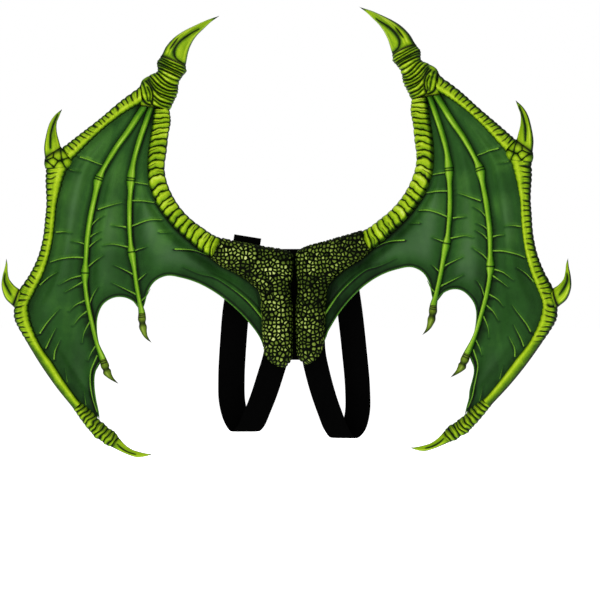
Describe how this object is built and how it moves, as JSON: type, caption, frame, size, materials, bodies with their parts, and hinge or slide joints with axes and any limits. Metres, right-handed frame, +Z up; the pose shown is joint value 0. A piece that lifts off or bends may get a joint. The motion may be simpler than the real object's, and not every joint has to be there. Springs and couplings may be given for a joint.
{
  "type": "costume dragon wings",
  "caption": "Scalloped moulded wings on a cloth panel with elastic shoulder straps, worn on the back.",
  "frame": {"origin": "middle of the cloth panel's back, between the two wings, where the wearer's back is", "axes": "+Z up along the wearer's back, +X to the right of the painted faces, +Y towards the wearer"},
  "size_m": [0.8558, 0.1769, 0.6796],
  "materials": {
    "ridge_paint": "satin lime paint over dark green foam, dark in the grooves",
    "claw_paint": "satin lime paint shaded dark green to the root",
    "bone_paint": "satin yellow-green paint over dark green foam",
    "membrane_paint": "satin dark green paint on moulded foam, lighter on the veins",
    "scale_paint": "pebbled foam, yellow-green on the scales and black between them",
    "panel_cloth": "plain black woven cloth",
    "strap_elastic": "black woven elastic webbing"
  },
  "bodies": {
    "root": {"membrane_left": "membrane_paint", "arm_left": "ridge_paint", "wrist_cuff_left": "ridge_paint", "wrist_claw_left": "claw_paint", "outer_finger_upper_left": "ridge_paint", "upper_knuckle_left": "ridge_paint", "upper_spur_left": "claw_paint", "outer_finger_middle_left": "ridge_paint", "lower_spur_left": "claw_paint", "outer_finger_lower_left": "ridge_paint", "tip_knuckles_left": "ridge_paint", "tip_claw_left": "claw_paint", "middle_finger_left": "bone_paint", "middle_claw_left": "claw_paint", "inner_finger_left": "bone_paint", "inner_claw_left": "claw_paint", "root_pad_left": "scale_paint", "strap_left": "strap_elastic", "membrane_right": "membrane_paint", "arm_right": "ridge_paint", "wrist_cuff_right": "ridge_paint", "wrist_claw_right": "claw_paint", "outer_finger_upper_right": "ridge_paint", "upper_knuckle_right": "ridge_paint", "upper_spur_right": "claw_paint", "outer_finger_middle_right": "ridge_paint", "lower_spur_right": "claw_paint", "outer_finger_lower_right": "ridge_paint", "tip_knuckles_right": "ridge_paint", "tip_claw_right": "claw_paint", "middle_finger_right": "bone_paint", "middle_claw_right": "claw_paint", "inner_finger_right": "bone_paint", "inner_claw_right": "claw_paint", "root_pad_right": "scale_paint", "strap_right": "strap_elastic", "centre_panel": "panel_cloth"}
  },
  "joints": []
}
